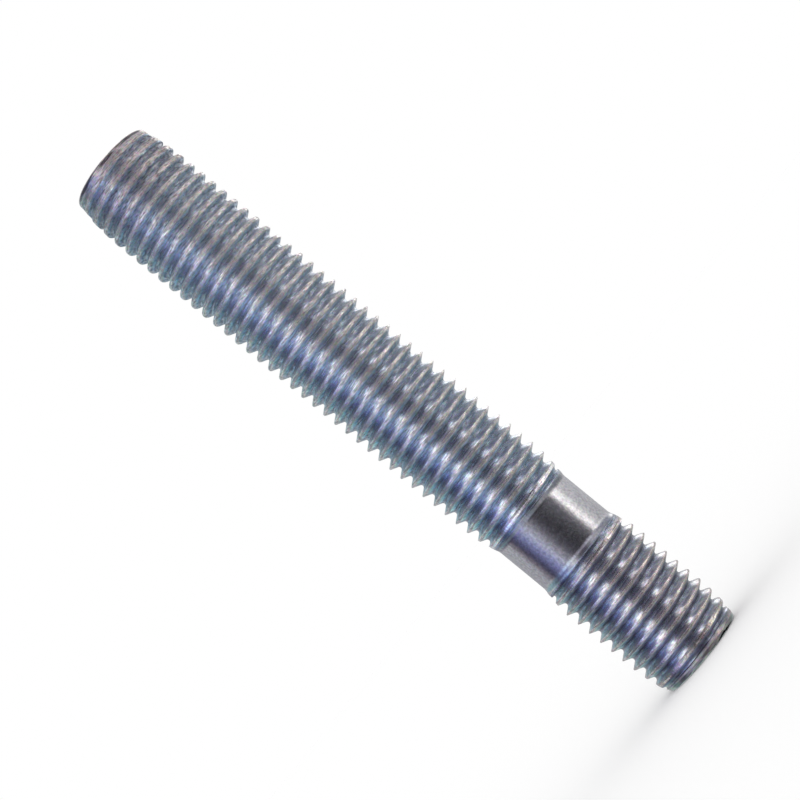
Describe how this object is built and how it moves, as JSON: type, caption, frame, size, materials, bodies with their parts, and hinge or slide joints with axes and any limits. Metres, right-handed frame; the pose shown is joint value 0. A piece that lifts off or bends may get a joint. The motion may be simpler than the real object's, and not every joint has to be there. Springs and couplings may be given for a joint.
{
  "type": "wheel stud",
  "caption": "Double-ended wheel stud: a short thread for the hub, a plain waisted shank and a long thread for the wheel nut, with rounded ends.",
  "frame": {"origin": "centre of the hub end's flat face, on which the stud stands", "axes": "+Z along the stud's axis from the hub end to the nut end; X and Y are alike, because the body is round"},
  "size_m": [0.0118, 0.0118, 0.081],
  "materials": {
    "zinc_plated_steel": "bright zinc plate with a faint blue passivation, crests rubbed bright"
  },
  "bodies": {
    "root": {"stud": "zinc_plated_steel"}
  },
  "joints": []
}
